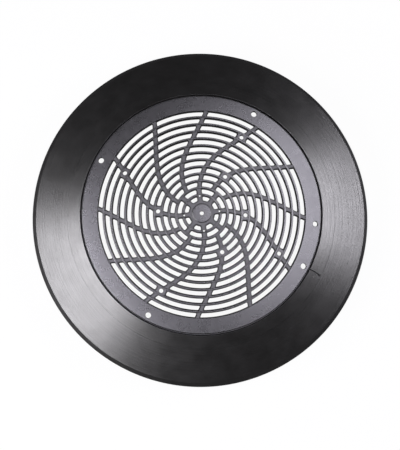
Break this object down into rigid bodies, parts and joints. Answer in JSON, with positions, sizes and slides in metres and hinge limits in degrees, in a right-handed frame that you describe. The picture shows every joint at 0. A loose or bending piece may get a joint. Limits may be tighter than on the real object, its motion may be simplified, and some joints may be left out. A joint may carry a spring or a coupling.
{
  "type": "motor fan cover",
  "caption": "Round black moulded motor fan cover: flat grille of concentric rings on S-shaped spokes, conical skirt running back to a steep flank and a straight collar, with screw holes in the plate.",
  "frame": {"origin": "centre of the collar's edge, on the plane that the cover stands on", "axes": "+Z along the fan's axis, out through the grille's face; +Y towards the top of the picture, +X to its right"},
  "size_m": [0.2944, 0.2944, 0.045],
  "materials": {
    "black_plastic": "satin skirt and collar, fine matt texture on the plate and grille"
  },
  "bodies": {
    "root": {"fan_cover": "black_plastic"}
  },
  "joints": []
}
